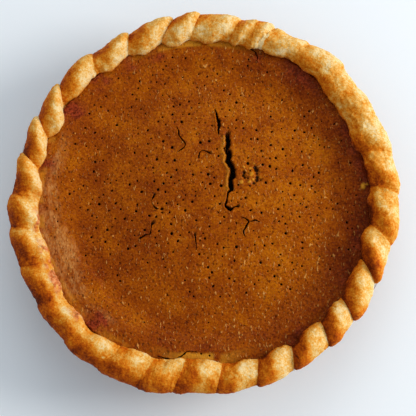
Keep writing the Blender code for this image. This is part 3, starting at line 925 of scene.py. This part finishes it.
def build_filling(material):
    rng = np.random.default_rng(7)
    top, holes, rim = scatter_top(rng)
    flat, _, faces, origins, _, _ = geometry.delaunay_2d_cdt(
        [Vector(point) for point in top.points], top.edges, [], 1, 1e-5)
    x = np.array([point.x for point in flat])
    y = np.array([point.y for point in flat])
    source = np.array([origin[0] if origin else -1 for origin in origins])
    drop = np.where(source >= 0, np.array(top.drops)[source], 1.0)
    deep = np.where(source >= 0, np.array(top.deeps)[source], 1.0)
    height = surface(x, y) - dented(x, y, scatter_dimples(holes, rng))
    number_of = {int(first): index for index, first in enumerate(source)}
    verts, faces = close_below(np.stack([x, y, height - drop], axis=1),
                               [tuple(face) for face in faces],
                               [number_of[number] for number in rim])
    filling = add_piece("custard", verts, faces, material, "filling")

    hidden = len(verts) - len(x)
    # Painted shade in the burst bubble's pits.
    for pit in BUBBLE_PITS:
        deep = np.maximum(deep, 0.95 * ease(0.20, 0.60, spread(x, y, *pit)))
    for name, values in (("deep", deep), ("stain", edge_stain_and_shade(x, y)), ("dry_and_sheen", dry_skin_and_sheen(x, y)),
                         ("crumb", crumbs_and_lip_highlight(x, y)), ("light_and_shade", painted_light_and_shade(x, y)),
                         ("glint_share", painted_glints(x, y))):
        add_attribute(filling, name, np.append(values, np.zeros(hidden)))


# Painted shadow, the darkest custard, in the hollows under the crust: direction, half width,
# strength.
SHADES = ((13, 6, 1.0), (27, 3, 1.0), (52, 7, 0.8), (303, 4, 0.8))


def painted_light_and_shade(x, y):
    """Painted light and shade on the custard, darker below 0 and lighter above."""
    radius, angle = polar(x, y)
    # Painted shadow of the rope near the crust, mostly on the right.
    rim = ease(76.0, 100.0, radius) * (bump(angle, 352, 60) + 0.3 * bump(angle, 262, 30))
    rim += 0.55 * ease(91.0, 97.0, radius) * bump(angle, 57, 15)
    rim += 0.80 * ease(100.0, 103.0, radius) * hills(angle, SHADES)
    # Painted shade on the slope that faces away from the light, low on the left.
    rim += 0.30 * bump(angle, 230, 22) * np.exp(-((radius - 79.0) / 5.0) ** 2)
    # Painted light: lighter towards the window light on the right.
    side = 0.045 * np.cos(np.radians(angle - 10.0)) * ease(0.0, 55.0, radius)
    return side * ease(95.0, 75.0, radius) - 0.19 * rim


def painted_glints(x, y):
    """Where the painted highlights lie closer together: above 0 towards the right and the front."""
    return 0.028 * ease(-45.0, 55.0, x) + 0.022 * ease(10.0, -70.0, y) - 0.022


# Dried skin and painted sheen: direction and radius of each patch, half widths of both, strength.
SKIN_AND_SHEEN = (
    (166, 98.5, 13, 5.0, 0.9), (183, 97.0, 9, 6.0, 0.7), (200, 93.0, 9, 7.5, 0.9),
    (212, 96.0, 8, 4.0, 0.7), (231, 97.0, 7, 4.0, 0.5), (195, 103.0, 24, 3.6, 1.1))


def dry_skin_and_sheen(x, y):
    """Where the custard is paler, dried skin and painted sheen, in torn patches just inside the
    crust.
    """
    radius, angle = polar(x, y)
    points = in_space(x, y)
    ring = in_space(angle / 3.5, radius / 1.4)
    patches = sum(strength * bump(angle, middle, width) * np.exp(-((radius - centre) / high) ** 2)
                  for middle, centre, width, high, strength in SKIN_AND_SHEEN)
    torn = 0.5 * lumps(points, 6.0, 32) + 0.5 * lumps(ring, 1.0, 33) + 0.3 * lumps(points, 2.0, 36)
    return 0.85 * ease(0.1, 0.9, patches * (0.85 + torn))


# Thin yellow films of custard along the crust: direction, half width, first radius, strength.
FILMS = (
    (269, 11, 97.0, 0.60), (95, 17, 102.8, 0.60), (193, 24, 102.0, 0.65), (160, 8, 102.8, 0.30),
    (238, 8, 102.5, 0.20))


def crumbs_and_lip_highlight(x, y):
    """Pale crumbs, a painted highlight on the long crack's lit lip, and the yellow films by the
    crust.
    """
    points = in_space(x, y)
    radius, angle = polar(x, y)
    film = sum(strength * bump(angle, middle, width) * ease(start, start + 1.8, radius)
               for middle, width, start, strength in FILMS)
    film = np.minimum(film, 0.7) * ease(-0.7, 0.2, lumps(points, 4.0, 34))
    pale = sum(spread(x, y, *crumb[:3]) for crumb in CRUMBS)
    broken = ease(-0.6, 0.2, lumps(points, 1.6, 35))
    crack_x, crack_y, half = np.array(CRACKS[0][0])[LIPPED][::-1].T
    outside = np.interp(y, crack_y, crack_x - half, left=999.0, right=999.0) - x
    # Painted highlight on the side of the crack's lip that faces the light.
    lip = np.exp(-((outside - 0.7) / 0.8) ** 2)
    return np.clip(film + 0.65 * ease(0.3, 0.7, pale) * broken + 0.35 * lip, 0.0, 1.0)


# The rows at 18 and 53 are painted shadow in the hollows under the crust.
# Red-brown syrup between the custard and the crust: direction, half width, strength.
SYRUP = (
    (18, 11, 0.7), (53, 7, 0.7), (107.5, 3, 0.9), (117.5, 3, 0.9), (130, 4, 1.0), (145.5, 4, 1.0),
    (167.5, 3, 0.9), (190, 30, 0.4), (229, 3, 1.0), (303, 3, 1.0), (329, 3, 0.7), (343.5, 3, 0.7))


def edge_stain_and_shade(x, y):
    """Where syrup darkened and reddened the custard along the crust, and painted shadow under it.
    """
    radius, angle = polar(x, y)
    points = in_space(x, y)
    patchy = ease(-0.9, 0.3, lumps(points, 4.0, 31))
    edge = ease(95.5, 101.0, radius) * np.minimum(hills(angle, SYRUP), 1.0) * patchy
    spot = spread(x, y, -86, 59, 6.0) + 0.5 * spread(x, y, -79, 58, 4.0)
    other = spread(x, y, -68, -77, 6.0) + 0.6 * spread(x, y, -61, -81, 4.0)
    other += 0.7 * spread(x, y, 34.6, 96.0, 2.6)
    broken = 0.25 + 0.75 * ease(-0.4, 0.3, lumps(points, 2.2, 37))
    return np.clip(0.9 * edge + (1.2 * spot + 1.3 * other) * broken, 0.0, 1.0)


# ---- the plate

def dish_profile():
    under = DISH_HEIGHT - GLASS
    edge = GLASS / 2.0 - 0.05
    corners = ((0.0, GLASS, 0.0, 0), (FLOOR_RADIUS, GLASS, FLOOR_FILLET, 8),
               (WELL_RADIUS, DISH_HEIGHT, 2.5, 5), (RIM_RADIUS, DISH_HEIGHT, edge, 8),
               (RIM_RADIUS, under, edge, 8), (inside_wall(-GLASS, under), under, 1.5, 4),
               (inside_wall(-GLASS, 0.0), 0.0, FOOT_FILLET, 8), (0.0, 0.0, 0.0, 0))
    points = []
    for index, (radius, height, bend, steps) in enumerate(corners):
        if bend:
            points += fillet(corners[index - 1][:2], (radius, height),
                             corners[index + 1][:2], bend, steps)
        else:
            points.append((radius, height))
    return points


def build_dish(material):
    profile = dish_profile()
    verts = [(radius * math.cos(turn), radius * math.sin(turn), height)
             for radius, height in profile[1:-1] for turn in turns(DISH_SIDES)]
    verts += [(0.0, 0.0, profile[0][1]), (0.0, 0.0, profile[-1][1])]
    add_piece("pie_plate", verts, closed_faces(len(profile) - 2, DISH_SIDES), material,
              "dish")


# ---- camera, light and floor

CAMERA_ELEVATION = 78.0  # looks down from a little in front of the pie
CAMERA_DISTANCE = 770.0
CAMERA_AIM = (2.6, -5.2, 38.0)
CAMERA_LENS = 104.2
FLOOR_HALF = 3.0  # half the floor's width in metres
FLOOR_DROP = 0.0002  # keeps the floor and the plate's base apart, in metres


def add_camera():
    data = bpy.data.cameras.new("camera")
    data.lens = CAMERA_LENS
    data.clip_start, data.clip_end = 0.05, 20.0
    camera = add_object("camera", data)
    tilt = math.radians(CAMERA_ELEVATION)
    back = Vector((0.0, -math.cos(tilt), math.sin(tilt)))
    camera.location = (Vector(CAMERA_AIM) + back * CAMERA_DISTANCE) * MM
    camera.rotation_euler = (-back).to_track_quat('-Z', 'Y').to_euler()
    bpy.context.scene.camera = camera


def add_light(name, azimuth, elevation, distance, size, power, colour):
    """A rectangular light, in metres and watts, that faces the pie's foot."""
    data = bpy.data.lights.new(name, 'AREA')
    data.shape = 'RECTANGLE'
    data.size, data.size_y = size
    data.energy = power
    data.color = colour
    light = add_object(name, data)
    a, e = math.radians(azimuth), math.radians(elevation)
    away = Vector((math.cos(a) * math.cos(e), math.sin(a) * math.cos(e), math.sin(e)))
    light.location = away * distance
    light.rotation_euler = (-away).to_track_quat('-Z', 'Y').to_euler()


def add_world():
    world = bpy.data.worlds.new("studio")
    world.use_nodes = True
    sky = world.node_tree.nodes["Background"]
    sky.inputs["Color"].default_value = (0.86, 0.93, 1.0, 1.0)
    sky.inputs["Strength"].default_value = 0.56
    bpy.context.scene.world = world
    bpy.context.scene.view_settings.view_transform = 'Standard'


def add_floor():
    n = Nodes("pale_floor")
    tone = n.mix(n.noise(180.0, 2.0), (0.88, 0.915, 0.94), (0.90, 0.935, 0.96))
    corners = [(x * FLOOR_HALF, y * FLOOR_HALF, 0) for x, y in ((-1, -1), (1, -1), (1, 1), (-1, 1))]
    floor = add_mesh("floor", corners, [(0, 1, 2, 3)], n.set(Base_Color=tone, Roughness=0.8))
    floor.location.z = -FLOOR_DROP


# ---- putting it together

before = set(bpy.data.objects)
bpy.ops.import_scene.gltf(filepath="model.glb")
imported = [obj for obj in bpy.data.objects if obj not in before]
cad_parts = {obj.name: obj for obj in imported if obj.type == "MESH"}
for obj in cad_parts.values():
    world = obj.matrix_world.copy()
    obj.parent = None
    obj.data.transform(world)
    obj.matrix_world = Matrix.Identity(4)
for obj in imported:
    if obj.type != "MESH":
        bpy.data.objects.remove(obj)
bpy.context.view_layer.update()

add_camera()
add_world()
add_floor()
add_light("window", azimuth=8, elevation=26, distance=1.8, size=(0.9, 0.65), power=27.0,
          colour=(1.0, 0.98, 0.95))
add_light("side_window", azimuth=85, elevation=40, distance=3.0, size=(2.0, 1.7), power=17.0,
          colour=(0.95, 0.98, 1.0))

build_dish(glass_material())
build_crust(pastry_material())
build_filling(custard_material())
